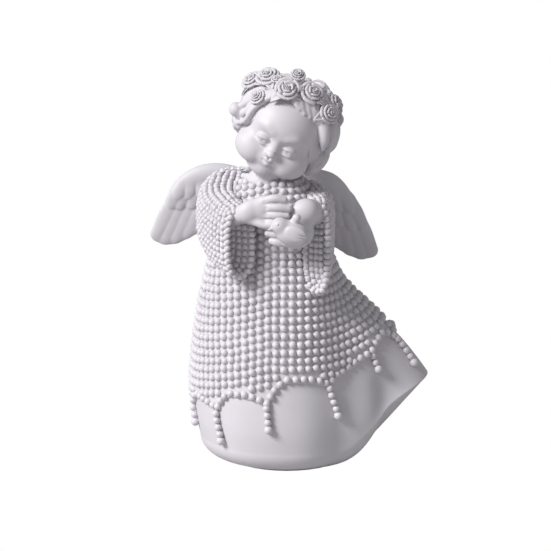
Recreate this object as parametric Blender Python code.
"""A resin angel figurine, 149 mm tall, as an assembly of separately cast pieces.

She stands on Z = 0 and faces -Y, so her right side is at -X. The solid underskirt carries a
beaded overskirt and bodice, two bell sleeves with forearms in them, the head with its hair and
rose wreath, and two wings on steel pins. A felt pad is glued under it. Nothing moves.
"""

import math

import bmesh
import bpy
import numpy as np
from mathutils import Euler, Matrix, Vector

# Driving dimensions, in millimetres and degrees.
MM = 0.001
GAP = 0.3  # the glue line between two castings
MERGE = 0.02  # corners closer than this are one corner
BEAD = 2.1  # how far the beadwork stands out from the cloth under it

PAD_HEIGHT = 1.0
PAD_REACH = 22.0
BASE_Z = PAD_HEIGHT + GAP
BASE_REACH = 23.6
WAIST_Z = 80.0
HEM_Z = 9.0

# The skirt from the waist (0) to its hem edge (1): the reach to her right, to her left, to the
# front and to the back, and the extra reach of the train that sweeps out to her left.
SKIRT_SHARE = (0.0, 0.25, 0.5, 0.75, 0.9, 1.0)
SKIRT_RIGHT = (27.3, 31.4, 34.0, 35.2, 34.2, 32.7)
SKIRT_LEFT = (15.0, 19.5, 26.5, 31.5, 32.6, 32.4)
SKIRT_FRONT = (18.8, 25.0, 30.0, 32.8, 33.2, 32.4)
SKIRT_BACK = (18.5, 24.0, 29.0, 32.0, 32.6, 32.0)
SKIRT_TRAIN = (0.0, 1.0, 5.8, 12.3, 16.6, 20.2)
TRAIN_LIFT = 23.8
TRAIN_HALF_ANGLE = math.radians(57.0)
SKIRT_AROUND = 48
SKIRT_STEPS = (0.0, 0.25, 0.5, 0.75, 1.0)  # the beadwork's rings, as shares of its own height

# The overskirt's pearl drops hang where two scallops meet: the angle, from her left by the back,
# the share of the way from the waist to the hem edge, and the pearls on the string.
DROPS = (
    (-165, 0.82, 3),
    (-141, 0.78, 5),
    (-107, 0.72, 4),
    (-66, 0.635, 5),
    (-35, 0.57, 3),
    (-7, 0.68, 5),
    (24, 0.64, 4),
    (56, 0.66, 4),
    (90, 0.72, 5),
    (125, 0.77, 4),
    (160, 0.80, 4),
)
PEARL_RADIUS = 1.45
SCALLOP_SHARE = 0.07
DROP_RUN = 60.0  # about how far it is from the waist to the hem edge, over the cloth

# The bodice from the waist to the neck: height, half width, front and back.
BODICE_X = -6.1
BODICE_LEVELS = (
    (WAIST_Z + GAP, 23.2, 20.9, 20.6),
    (88.0, 21.5, 20.6, 19.0),
    (97.0, 19.0, 19.5, 17.5),
    (104.0, 14.5, 16.0, 14.5),
    (108.5, 9.0, 10.5, 10.0),
)

# A sleeve's rings from the shoulder to the cuff: centre, half width and half height.
RIGHT_SLEEVE = (
    ((-15.5, 1.0, 105.5), 4.0, 4.0),
    ((-19.0, 0.0, 103.0), 8.5, 8.5),
    ((-23.4, -2.0, 97.5), 9.6, 11.0),
    ((-24.2, -8.0, 93.2), 8.8, 12.6),
    ((-22.0, -16.0, 90.4), 7.6, 13.6),
    ((-17.5, -24.6, 88.5), 6.6, 13.8),
)
LEFT_SLEEVE = (
    ((3.5, 1.0, 100.5), 4.0, 4.0),
    ((6.0, 0.0, 98.5), 8.0, 8.0),
    ((9.0, -2.0, 94.5), 8.4, 10.5),
    ((10.4, -8.0, 91.0), 7.0, 13.2),
    ((11.2, -15.5, 88.0), 6.4, 16.0),
    ((10.9, -22.7, 86.0), 6.0, 17.6),
)
CUFF_WALL = 1.4
CUFF_DEPTH = 0.35  # how much of the last stretch of sleeve is hollow
CUFF_CORNER = 0.7  # under 1 the sleeve's section is fuller than an oval

# The head's own frame: its centre, and how it nods forward, leans to her left and turns.
HEAD_CENTRE = (-1.4, -4.0, 127.0)
HEAD_NOD = 14.0
HEAD_LEAN = 27.0
HEAD_TURN = -4.0
SKULL = (16.0, 16.6, 16.6)
HAIR = 1.9
NECK_RADIUS = 6.6
NECK_POINT = (-5.0, -1.0, 108.8)

# Locks of hair outside the cap, from the skull's centre: each lock's points and its radius.
LOCKS = (
    ("temple_curl", ((-14.6, -9.8, 5.2), (-17.4, -6.6, 7.6), (-18.6, -2.6, 4.6)), 2.6),
    ("right_fringe", ((-13.4, -12.6, 6.8), (-8.6, -14.2, 11.0), (-1.6, -15.4, 12.0)), 1.6),
    ("left_fringe", ((5.0, -15.2, 11.4), (7.6, -15.8, 8.4), (8.4, -16.8, 4.6)), 1.5),
    ("left_side_lock", ((15.4, -11.6, 5.4), (17.2, -10.2, -0.6), (17.0, -8.0, -7.0)), 2.6),
    ("left_nape_curl", ((19.6, 4.0, -9.6), (17.0, 7.0, -13.6), (11.4, 10.0, -16.6)), 2.4),
    ("right_nape_curl", ((-18.4, 6.0, -4.6), (-15.0, 9.6, -9.6), (-8.4, 12.4, -13.0)), 2.6),
)

# The wreath's flowers: the direction from the skull's centre, and the flower's radius.
ROSES = (
    ((-9.5, -10.3, 17.6), 4.6),
    ((1.0, -11.4, 19.4), 4.6),
    ((11.2, -8.7, 17.4), 4.8),
    ((17.9, -9.0, 9.8), 4.2),
    ((20.0, 2.4, 10.6), 4.0),
    ((13.0, 9.6, 15.4), 4.0),
    ((3.6, 11.4, 19.0), 4.2),
    ((-6.6, 9.0, 19.6), 4.2),
    ((-12.8, -0.4, 18.2), 4.2),
)
VINE_RADIUS = 0.8
SEAT = SKULL[2] + HAIR + GAP
VINE_SEAT = SEAT + VINE_RADIUS

# A wing's outline from the root's top, round the tip, to the root's bottom, as X and Z.
RIGHT_WING = (
    (-10.0, 102.5),
    (-21.8, 107.3),
    (-30.0, 108.3),
    (-37.5, 104.4),
    (-43.9, 97.0),
    (-48.4, 87.8),
    (-52.1, 78.9),
    (-47.6, 76.6),
    (-38.0, 80.6),
    (-32.0, 84.0),
    (-24.0, 87.0),
    (-10.5, 90.5),
)
LEFT_WING = (
    (-2.0, 102.5),
    (8.0, 105.5),
    (16.9, 104.3),
    (22.5, 99.1),
    (26.2, 94.5),
    (29.6, 86.0),
    (32.8, 77.0),
    (33.8, 73.8),
    (31.5, 70.9),
    (26.6, 72.0),
    (22.0, 74.6),
    (17.0, 78.6),
    (8.0, 84.0),
    (-1.5, 90.0),
)
WING_THICK = 3.0
PIN_RADIUS = 1.5
PIN_LENGTH = 17.0
WING_ROOT_X = (-13.0, 1.0)
WING_ROOT_Z = 98.0
WING_FRONT_Y = 17.0
WING_PIN_Y = 10.4

STEEL = (0.62, 0.63, 0.65)
RESIN = (0.80, 0.79, 0.83)
PEARL = (0.82, 0.81, 0.85)
FELT = (0.55, 0.54, 0.58)


def spline(x, knots, values):
    """A smooth curve through the knots, by cubics with averaged slopes, held flat beyond the ends."""
    knots = np.asarray(knots, float)
    values = np.asarray(values, float)
    slopes = np.gradient(values, knots)
    x = np.clip(x, knots[0], knots[-1])
    i = np.clip(np.searchsorted(knots, x, side="right") - 1, 0, len(knots) - 2)
    width = knots[i + 1] - knots[i]
    u = (x - knots[i]) / width
    rise = u * u * (3 - 2 * u)
    bend = u * (1 - u) * width
    return (
        values[i] * (1 - rise)
        + values[i + 1] * rise
        + bend * ((1 - u) * slopes[i] - u * slopes[i + 1])
    )


def train(angle):
    """1 where the train sweeps out to her left, 0 beyond its half angle."""
    turned = (angle + math.pi) % (2 * math.pi) - math.pi
    inside = np.abs(turned) < TRAIN_HALF_ANGLE
    return np.where(inside, np.cos(turned * math.pi / 2 / TRAIN_HALF_ANGLE) ** 2, 0.0)


def reach(angle, right, left, front, back):
    """An oval's radius at this angle, from how far it reaches on its four sides."""
    side = np.where(np.cos(angle) < 0, right, left)
    depth = np.where(np.sin(angle) < 0, front, back)
    return 1 / np.sqrt((np.cos(angle) / side) ** 2 + (np.sin(angle) / depth) ** 2)


def skirt(angle, share):
    """A point of the underskirt's cloth, from the waist at share 0 to the hem edge at 1."""
    sides = [
        spline(share, SKIRT_SHARE, row)
        for row in (SKIRT_RIGHT, SKIRT_LEFT, SKIRT_FRONT, SKIRT_BACK)
    ]
    radius = reach(angle, *sides) + spline(share, SKIRT_SHARE, SKIRT_TRAIN) * train(angle)
    edge = HEM_Z + TRAIN_LIFT * train(angle)
    height = WAIST_Z + (edge - WAIST_Z) * share
    return np.stack([radius * np.cos(angle), radius * np.sin(angle), height], axis=-1)


def skirt_out(angle, share, out):
    """The same point moved out from the cloth by a distance."""
    step = 0.01
    low = np.minimum(share, 1 - step)
    around = skirt(angle + step, low) - skirt(angle - step, low)
    down = skirt(angle, low + step) - skirt(angle, np.maximum(low - step, 0))
    normal = np.cross(down, around)
    normal /= np.linalg.norm(normal, axis=-1, keepdims=True)
    return skirt(angle, share) + out * normal


def hem_share(angle):
    """Where the beadwork ends at this angle: low at the drops, high between them."""
    first = math.radians(DROPS[0][0])
    stops = np.radians([*(drop[0] for drop in DROPS), DROPS[0][0] + 360])
    lows = np.array([*(drop[1] for drop in DROPS), DROPS[0][1]])
    turned = (angle - first) % (2 * math.pi) + first
    i = np.clip(np.searchsorted(stops, turned, side="right") - 1, 0, len(stops) - 2)
    way = (turned - stops[i]) / (stops[i + 1] - stops[i])
    arch = np.sqrt(np.maximum(1 - (2 * way - 1) ** 4, 0))
    return lows[i] + (lows[i + 1] - lows[i]) * way - SCALLOP_SHARE * arch


def material(name, colour, roughness, metallic=0.0):
    made = bpy.data.materials.new(name)
    made.use_nodes = True
    surface = made.node_tree.nodes["Principled BSDF"]
    surface.inputs["Base Color"].default_value = (*colour, 1.0)
    surface.inputs["Roughness"].default_value = roughness
    surface.inputs["Metallic"].default_value = metallic
    return made


def add(name, mesh, slot, parent=None):
    """One named object, smooth apart from its sharp edges."""
    made = bpy.data.objects.new(name, mesh)
    bpy.context.scene.collection.objects.link(made)
    made.parent = parent
    mesh.materials.clear()
    mesh.materials.append(slot)
    mesh.shade_smooth()
    mesh.set_sharp_from_angle(angle=math.radians(40))
    return made


def mesh_of(points, faces):
    """A mesh from points in millimetres, with its faces turned outward."""
    shape = bmesh.new()
    corners = [shape.verts.new(Vector(p) * MM) for p in points]
    for face in faces:
        shape.faces.new([corners[i] for i in face])
    bmesh.ops.recalc_face_normals(shape, faces=shape.faces)
    mesh = bpy.data.meshes.new("shape")
    shape.to_mesh(mesh)
    shape.free()
    return mesh


def loft(rings, closed_tube=False):
    """A skin over rings with equal numbers of points, each end closed by a fan, or the last ring
    joined to the first where the skin is a closed tube."""
    rings = np.asarray(rings, float)
    count, around = rings.shape[:2]
    points = [tuple(p) for ring in rings for p in ring]
    faces = []
    for i in range(count if closed_tube else count - 1):
        a, b = i * around, (i + 1) % count * around
        for j in range(around):
            k = (j + 1) % around
            faces.append((a + j, a + k, b + k, b + j))
    if not closed_tube:
        for start, ring in ((0, rings[0]), ((count - 1) * around, rings[-1])):
            points.append(tuple(ring.mean(axis=0)))
            for j in range(around):
                faces.append((start + j, start + (j + 1) % around, len(points) - 1))
    return mesh_of(points, faces)


def oval(centre, across, along, around):
    """A ring of points round a centre, from its two half axes as vectors."""
    angles = np.linspace(0, 2 * math.pi, around, endpoint=False)[:, None]
    return (
        np.asarray(centre, float)
        + np.cos(angles) * np.asarray(across, float)
        + np.sin(angles) * np.asarray(along, float)
    )


def level_oval(x, z, half_width, front, back, angles):
    """A level ring with a point at each of these angles, and its own reach front and back."""
    radius = reach(angles, half_width, half_width, front, back)
    return np.stack(
        [x + radius * np.cos(angles), radius * np.sin(angles), np.full(len(angles), z)], axis=-1
    )


def disc(z_low, z_high, radius):
    angles = np.linspace(0, 2 * math.pi, 32, endpoint=False)
    return loft([level_oval(0, z, radius, radius, radius, angles) for z in (z_low, z_high)])


def ellipsoid(centre, radii, around=12, rows=7, turn=None):
    """A closed egg shape, with its poles on its own Z axis, turned by an Euler rotation."""
    shape = bmesh.new()
    bmesh.ops.create_uvsphere(shape, u_segments=around, v_segments=rows, radius=1.0)
    turned = (turn or Euler()).to_matrix().to_4x4()
    place = Matrix.Translation(Vector(centre) * MM) @ turned
    shape.transform(place @ Matrix.Diagonal((*[r * MM for r in radii], 1.0)))
    mesh = bpy.data.meshes.new("egg")
    shape.to_mesh(mesh)
    shape.free()
    return mesh


def limb(joints, around=10, end_rows=2):
    """A rounded limb through joints, each a centre and a radius."""
    centres = [Vector(c) for c, _ in joints]
    radii = [r for _, r in joints]
    rings = []

    def ring(centre, axis, radius):
        across = axis.orthogonal().normalized()
        along = axis.cross(across).normalized()
        rings.append(oval(centre, across * radius, along * radius, around))

    first = (centres[1] - centres[0]).normalized()
    last = (centres[-1] - centres[-2]).normalized()
    side = first.orthogonal()
    for row in range(1, end_rows + 1):
        tip = math.pi / 2 * row / (end_rows + 1)
        ring(centres[0] - first * radii[0] * math.cos(tip), first, radii[0] * math.sin(tip))
    for i, (centre, radius) in enumerate(zip(centres, radii, strict=True)):
        before = centres[max(i - 1, 0)]
        after = centres[min(i + 1, len(centres) - 1)]
        ring(centre, (after - before).normalized(), radius)
    for row in range(end_rows, 0, -1):
        tip = math.pi / 2 * row / (end_rows + 1)
        ring(centres[-1] + last * radii[-1] * math.cos(tip), last, radii[-1] * math.sin(tip))
    return loft([align(r, side) for r in rings])


def align(ring, side):
    """The ring's points from the one that lies furthest along side, so that rings don't twist."""
    towards = (ring - ring.mean(axis=0)) @ np.asarray(side)
    return np.roll(ring, -int(np.argmax(towards)), axis=0)


def merge_close(mesh):
    """Merge the near-coincident corners a cut or join leaves, in place."""
    shape = bmesh.new()
    shape.from_mesh(mesh)
    bmesh.ops.remove_doubles(shape, verts=shape.verts, dist=MERGE * MM)
    bmesh.ops.dissolve_degenerate(shape, edges=shape.edges, dist=MERGE * MM)
    shape.to_mesh(mesh)
    shape.free()


def combine(first, others, operation):
    """The first mesh joined with the others or cut by them, one after another."""
    base = bpy.data.objects.new("base", first)
    bpy.context.scene.collection.objects.link(base)
    for other in others:
        tool = bpy.data.objects.new("tool", other)
        bpy.context.scene.collection.objects.link(tool)
        step = base.modifiers.new("Combine", "BOOLEAN")
        step.operation = operation
        step.solver = "EXACT"
        step.object = tool
        graph = bpy.context.evaluated_depsgraph_get()
        made = bpy.data.meshes.new_from_object(base.evaluated_get(graph))
        base.modifiers.clear()
        merge_close(made)
        base.data = made
        bpy.data.objects.remove(tool)
    mesh = base.data
    bpy.data.objects.remove(base)
    return mesh


def skirt_angles():
    """The angles of the skirt's rings, moved so that the drops' angles are among them."""
    angles = np.linspace(0, 2 * math.pi, SKIRT_AROUND, endpoint=False)
    for stop in np.radians([drop[0] for drop in DROPS]) % (2 * math.pi):
        angles[np.argmin(np.abs(angles - stop))] = stop
    return np.sort(angles)


def make_underskirt():
    """The solid bell: its cloth, and the hem rolled under to the base."""
    angles = skirt_angles()
    beaded = hem_share(angles)
    rings = [skirt(angles, beaded * s) for s in SKIRT_STEPS]
    rings += [skirt(angles, beaded + (1 - beaded) * s) for s in (0.35, 0.7, 1)]
    edge = rings[-1]
    base = level_oval(0, BASE_Z, BASE_REACH, BASE_REACH, BASE_REACH, angles)
    swept = train(angles)[:, None]
    for turn in (22.5, 45, 67.5, 90):
        inward = (1 - math.cos(math.radians(turn))) * (1 - swept) + turn / 90 * swept
        down = math.sin(math.radians(turn)) * (1 - swept) + turn / 90 * swept
        ring = edge + (base - edge) * inward
        ring[:, 2:] = edge[:, 2:] + (base - edge)[:, 2:] * down
        rings.append(ring)
    return loft(rings)


def make_overskirt():
    """The beaded layer, as one shell round the underskirt with a scalloped hem."""
    angles = skirt_angles()
    shares = [hem_share(angles) * s for s in SKIRT_STEPS]
    outer = [skirt_out(angles, s, BEAD) for s in shares]
    inner = [skirt_out(angles, s, 2 * GAP) for s in reversed(shares)]
    outer[0][:, 2] = WAIST_Z
    inner[-1][:, 2] = WAIST_Z
    return loft([*outer, *inner], closed_tube=True)


def make_drop(angle, pearls):
    """A string of pearls lying on the underskirt below a scallop's point."""
    start = float(hem_share(np.array([angle]))[0])
    turn = np.array([angle])
    points = []
    share = start + (PEARL_RADIUS + 2 * GAP) / DROP_RUN
    for _ in range(pearls):
        points.append(skirt_out(turn, np.array([share]), PEARL_RADIUS + GAP)[0])
        ahead = skirt(turn, np.array([share + 0.01])) - skirt(turn, np.array([share]))
        share += 0.01 * 1.9 * PEARL_RADIUS / float(np.linalg.norm(ahead))
    axis = Vector(points[-1]) - Vector(points[0])
    axis.normalize()
    across = axis.orthogonal().normalized()
    along = axis.cross(across)
    rings = []
    for i, centre in enumerate(points):
        for turned in (-60, 0, 60):
            if i and turned == -60:
                continue
            lift, wide = math.sin(math.radians(turned)), math.cos(math.radians(turned))
            rings.append(
                oval(
                    Vector(centre) + axis * lift * PEARL_RADIUS,
                    across * wide * PEARL_RADIUS,
                    along * wide * PEARL_RADIUS,
                    8,
                )
            )
    return loft(rings)


def bodice_rings(out=0.0):
    return [
        level_oval(BODICE_X, z, half_width + out, front + out, back + out, skirt_angles())
        for z, half_width, front, back in BODICE_LEVELS
    ]


def pin(centre, direction, spare=0.0, around=12):
    """A steel pin, or with some spare room all round it, the hole for one."""
    axis = Vector(direction).normalized()
    across = axis.orthogonal().normalized() * (PIN_RADIUS + spare)
    along = axis.cross(across).normalized() * (PIN_RADIUS + spare)
    half = PIN_LENGTH / 2 + spare
    return loft([oval(Vector(centre) + axis * end, across, along, around) for end in (-half, half)])


def wing_pin(root_x, spare=0.0):
    return pin((root_x, WING_PIN_Y, WING_ROOT_Z), (0, 1, 0), spare)


def make_bodice():
    """The torso, with a hole for the neck's dowel and two for the wings' pins."""
    holes = [wing_pin(x, GAP) for x in WING_ROOT_X]
    holes.append(pin(NECK_POINT, (0, 0, 1), GAP))
    return combine(loft(bodice_rings()), holes, "DIFFERENCE")


def dress_cutter():
    """The dress's outside grown by twice the glue gap, to cut what rests against it."""
    angles = skirt_angles()
    shares = [hem_share(angles) * s for s in SKIRT_STEPS[:-1]]
    rings = [skirt_out(angles, s, BEAD + 2 * GAP) for s in shares]
    rings[0][:, 2] = WAIST_Z
    bodice = bodice_rings(2 * GAP)
    above = bodice[-1] + np.array([0, 0, 4 * GAP])
    return loft([above, *bodice[::-1], *rings])


def sleeve_ring(centre, half_width, half_height, facing, around=20):
    angles = np.linspace(0, 2 * math.pi, around, endpoint=False)[:, None]
    wide = np.sign(np.cos(angles)) * np.abs(np.cos(angles)) ** CUFF_CORNER * half_width
    high = np.sign(np.sin(angles)) * np.abs(np.sin(angles)) ** CUFF_CORNER * half_height
    across = np.array([math.cos(facing), math.sin(facing), 0])
    return np.asarray(centre) + wide * across + high * np.array([0, 0, 1])


def sleeve_rings(rings, side, grown=0.0):
    """The outside of a sleeve. Side is -1 for her right and 1 for her left."""
    facings = [math.radians(a * side) for a in (8, 5, 0, -12, -25, -35)]
    return [
        sleeve_ring(centre, width + grown, height + grown, facing)
        for (centre, width, height), facing in zip(rings, facings, strict=True)
    ]


def make_sleeve(rings, side):
    """A bell sleeve: solid down to the cuff, hollow at the cuff, cut to lie against the dress."""
    cuff = sleeve_rings(rings, side, -CUFF_WALL)[-1]
    inner = sleeve_rings(rings, side, -1.6 * CUFF_WALL)
    floor = inner[-1] + (inner[-2] - inner[-1]) * CUFF_DEPTH
    return combine(loft([*sleeve_rings(rings, side), cuff, floor]), [dress_cutter()], "DIFFERENCE")


def sleeve_plug(rings, side):
    """The solid part of a sleeve with the glue gap round it, to cut the forearm that enters it."""
    grown = sleeve_rings(rings, side, GAP)
    floor = grown[-1] + (grown[-2] - grown[-1]) * (CUFF_DEPTH - 0.06)
    return loft([*grown[:-1], floor])


def make_right_forearm():
    """Her right forearm, its hand laid flat across the chest."""
    joints = (((-20.8, -19.0, 95.2), 2.6), ((-17.5, -24.2, 96.2), 2.8), ((-13.0, -27.0, 99.6), 3.7))
    arm = combine(limb(joints, 12), [sleeve_plug(RIGHT_SLEEVE, -1)], "DIFFERENCE")
    palm = ellipsoid((-10.0, -26.6, 101.6), (6.0, 2.9, 5.4), 12, 8)
    fingers = []
    for rise, length in ((4.4, 7.5), (1.5, 8.0), (-1.3, 7.5), (-3.9, 5.5)):
        start = (-7.0, -27.9, 101.6 + rise)
        end = (-7.0 + length, -28.6, 101.3 + rise * 0.85)
        fingers.append(limb(((start, 1.6), (end, 1.35)), 8, 1))
    return combine(arm, [palm, *fingers], "UNION")


def make_left_forearm():
    """Her left forearm, its hand cupped under the bird."""
    joints = (((11.2, -17.5, 95.6), 2.4), ((10.6, -22.6, 96.4), 2.6), ((7.0, -27.8, 100.2), 4.6))
    arm = combine(limb(joints, 12), [sleeve_plug(LEFT_SLEEVE, 1)], "DIFFERENCE")
    palm = ellipsoid((5.0, -26.6, 92.8), (5.0, 2.8, 6.0), 12, 8)
    fingers = []
    for drop in (0.0, 2.9, 5.8):
        start = (3.0, -27.2, 94.0 - drop)
        end = (-8.0 + drop, -27.4, 94.6 - drop)
        fingers.append(limb(((start, 1.6), (end, 1.3)), 8, 1))
    return combine(arm, [palm, *fingers], "UNION")


def make_bird():
    """A fledgling in the cupped hand, its head to her right."""
    body = ellipsoid((1.0, -33.8, 94.8), (6.4, 3.9, 4.6), 12, 8)
    head = ellipsoid((-3.4, -34.2, 97.0), (3.3, 3.0, 3.1), 10, 6)
    beak = limb((((-6.0, -35.0, 96.6), 1.0), ((-7.6, -35.6, 96.2), 0.5)), 6, 1)
    tail = limb((((4.0, -34.2, 96.4), 1.7), ((5.8, -35.2, 98.8), 1.0)), 8, 1)
    return combine(body, [head, beak, tail], "UNION")


def head_frame(name, turn=0.0, lean=0.0, nod=0.0):
    """An empty at the skull's centre that carries some of the head's pieces."""
    frame = bpy.data.objects.new(name, None)
    bpy.context.scene.collection.objects.link(frame)
    frame.location = Vector(HEAD_CENTRE) * MM
    turned = Matrix.Rotation(math.radians(turn), 3, "Z")
    leaned = Matrix.Rotation(math.radians(lean), 3, "Y")
    frame.rotation_euler = (turned @ leaned @ Matrix.Rotation(math.radians(nod), 3, "X")).to_euler()
    bpy.context.view_layer.update()
    return frame


def in_head(frame, point):
    """A world point in the head's frame, in millimetres."""
    return tuple(frame.matrix_world.inverted() @ (Vector(point) * MM) / MM)


def ears(spare=0.0):
    radii = [r + spare for r in (2.0, 3.2, 4.4)]
    return [ellipsoid((side * 15.6, 0.8, -4.0), radii, 10, 6) for side in (-1, 1)]


def make_head(frame):
    """Skull, jaw, cheeks, nose, ears and neck as one casting, with a dowel hole in the neck."""
    up = frame.matrix_world.to_3x3().inverted() @ Vector((0, 0, 1))
    foot = Vector(in_head(frame, NECK_POINT)) + up * GAP
    across = up.orthogonal().normalized() * NECK_RADIUS
    along = up.cross(across)
    top = Vector((0, 3, -6))
    neck = loft([oval(foot, across, along, 16), oval(top, across, along, 16)])
    features = [
        ellipsoid((0, -3.4, -5.6), (13.6, 12.0, 9.6), 20, 12),
        ellipsoid((-7.4, -8.8, -6.0), (6.6, 6.6, 6.6)),
        ellipsoid((7.4, -8.8, -6.0), (6.6, 6.6, 6.6)),
        ellipsoid((0, -12.3, -10.7), (4.3, 4.1, 3.9)),
        ellipsoid((0, -17.0, -2.0), (2.2, 2.4, 2.3), 10, 6),
        *ears(),
        neck,
    ]
    whole = combine(ellipsoid((0, 0, 0), SKULL, 24, 14), features, "UNION")
    hole = pin(in_head(frame, NECK_POINT), up, GAP)
    return combine(whole, [hole], "DIFFERENCE")


def make_hair_cap():
    """The combed hair on the crown and the back of the head, as a shell over the skull."""
    outer = ellipsoid((0, 0, 0), [r + HAIR for r in SKULL], 24, 14)
    inner = ellipsoid((0, 0, 0), [r + GAP for r in SKULL], 24, 14)
    face = bmesh.new()
    slope = Matrix.Rotation(math.radians(-38), 4, "X")
    place = slope @ Matrix.Translation(Vector((0, 0, -31.0)) * MM)
    bmesh.ops.create_cube(face, size=1.0, matrix=place @ Matrix.Scale(60 * MM, 4))
    cutter = bpy.data.meshes.new("face_side")
    face.to_mesh(cutter)
    face.free()
    return combine(outer, [inner, cutter, *ears(2 * GAP)], "DIFFERENCE")


def on_dome(direction, height):
    """The point at a height above the skull's centre, in a direction."""
    return Vector(direction).normalized() * height


def make_vine():
    """The wreath's stem: a closed wire on the hair, under the flowers."""
    seats = [on_dome(direction, VINE_SEAT) for direction, _ in ROSES]
    steps = 4
    centres = []
    for i, seat in enumerate(seats):
        after = seats[(i + 1) % len(seats)]
        centres += [on_dome(seat.lerp(after, s / steps), VINE_SEAT) for s in range(steps)]
    rings = []
    for i, centre in enumerate(centres):
        along = centres[(i + 1) % len(centres)] - centres[i - 1]
        out = centre.normalized()
        across = along.cross(out).normalized()
        rings.append(oval(centre, across * VINE_RADIUS, out * VINE_RADIUS, 6))
    return loft(rings, closed_tube=True)


def make_rose(direction, radius):
    """A flower as a lobed cup with a bud in it, standing on the vine."""
    out = Vector(direction).normalized()
    foot = on_dome(direction, SEAT + 2 * VINE_RADIUS + GAP)
    across = out.orthogonal().normalized()
    along = out.cross(across)
    profile = ((0.45, 0.0), (0.85, 0.22), (1.0, 0.5), (0.8, 0.56), (0.5, 0.42), (0.32, 0.8))
    rings = []
    for width, height in profile:
        angles = np.linspace(0, 2 * math.pi, 10, endpoint=False)
        lobes = radius * width * (1 + 0.07 * np.cos(5 * angles) * (width > 0.6))
        ring = (
            np.asarray(foot + out * height * radius)
            + (lobes * np.cos(angles))[:, None] * np.asarray(across)
            + (lobes * np.sin(angles))[:, None] * np.asarray(along)
        )
        rings.append(ring)
    return loft(rings)


def make_lock(points, radius):
    """A lock of hair, thick in its middle."""
    widths = (0.7, 1.0, 0.75)
    body = limb([(p, radius * w) for p, w in zip(points, widths, strict=True)], 8, 2)
    crown = ellipsoid((0, 0, 0), [r + HAIR + 2 * GAP for r in SKULL], 24, 14)
    return combine(body, [crown], "DIFFERENCE")


def wing_depth(x, root_x):
    """How far back the wing's middle lies: it bows away from the shoulder blade."""
    away = abs(x - root_x) / 40.0
    return WING_FRONT_Y + WING_THICK / 2 + 4.0 * away * (1.4 - away)


def make_wing(outline, root_x):
    """A flat feathered wing with a rounded edge, and a hole for its pin."""
    middle = np.mean(outline, axis=0)
    rings = []
    for share, depth in ((0.86, -0.5), (1.0, -0.25), (1.0, 0.25), (0.86, 0.5)):
        ring = []
        for x, z in outline:
            at = middle + (np.array([x, z]) - middle) * share
            back = wing_depth(at[0], root_x) + depth * WING_THICK
            ring.append((at[0], back, at[1]))
        rings.append(ring)
    return combine(loft(rings), [wing_pin(root_x, GAP), dress_cutter()], "DIFFERENCE")


def main():
    for old in list(bpy.data.objects):
        bpy.data.objects.remove(old)

    resin = material("matte_resin", RESIN, 0.6)
    pearl = material("pearl_beads", PEARL, 0.5)
    felt = material("felt", FELT, 0.95)
    steel = material("steel", STEEL, 0.3, 1.0)

    add("felt_pad", disc(0, PAD_HEIGHT, PAD_REACH), felt)
    add("underskirt", make_underskirt(), resin)
    add("beaded_overskirt", make_overskirt(), pearl)
    for i, (angle, _, pearls) in enumerate(DROPS, start=1):
        add(f"pearl_drop_{i:02d}", make_drop(math.radians(angle), pearls), pearl)

    add("beaded_bodice", make_bodice(), pearl)
    add("right_sleeve", make_sleeve(RIGHT_SLEEVE, -1), pearl)
    add("left_sleeve", make_sleeve(LEFT_SLEEVE, 1), pearl)
    add("right_forearm", make_right_forearm(), resin)
    add("left_forearm", make_left_forearm(), resin)
    add("bird", make_bird(), resin)

    face = head_frame("face_frame", HEAD_TURN, HEAD_LEAN, HEAD_NOD)
    add("head", make_head(face), resin, face)
    add("hair_cap", make_hair_cap(), resin, face)
    crown = head_frame("crown_frame")
    for name, points, radius in LOCKS:
        add(name, make_lock(points, radius), resin, crown)
    add("wreath_vine", make_vine(), resin, crown)
    for i, (direction, radius) in enumerate(ROSES, start=1):
        add(f"rose_{i:02d}", make_rose(direction, radius), resin, crown)

    add("right_wing", make_wing(RIGHT_WING, WING_ROOT_X[0]), resin)
    add("left_wing", make_wing(LEFT_WING, WING_ROOT_X[1]), resin)
    for side, x in zip(("right", "left"), WING_ROOT_X, strict=True):
        add(f"{side}_wing_pin", wing_pin(x), steel)
    add("neck_dowel", pin(NECK_POINT, (0, 0, 1)), steel)


main()
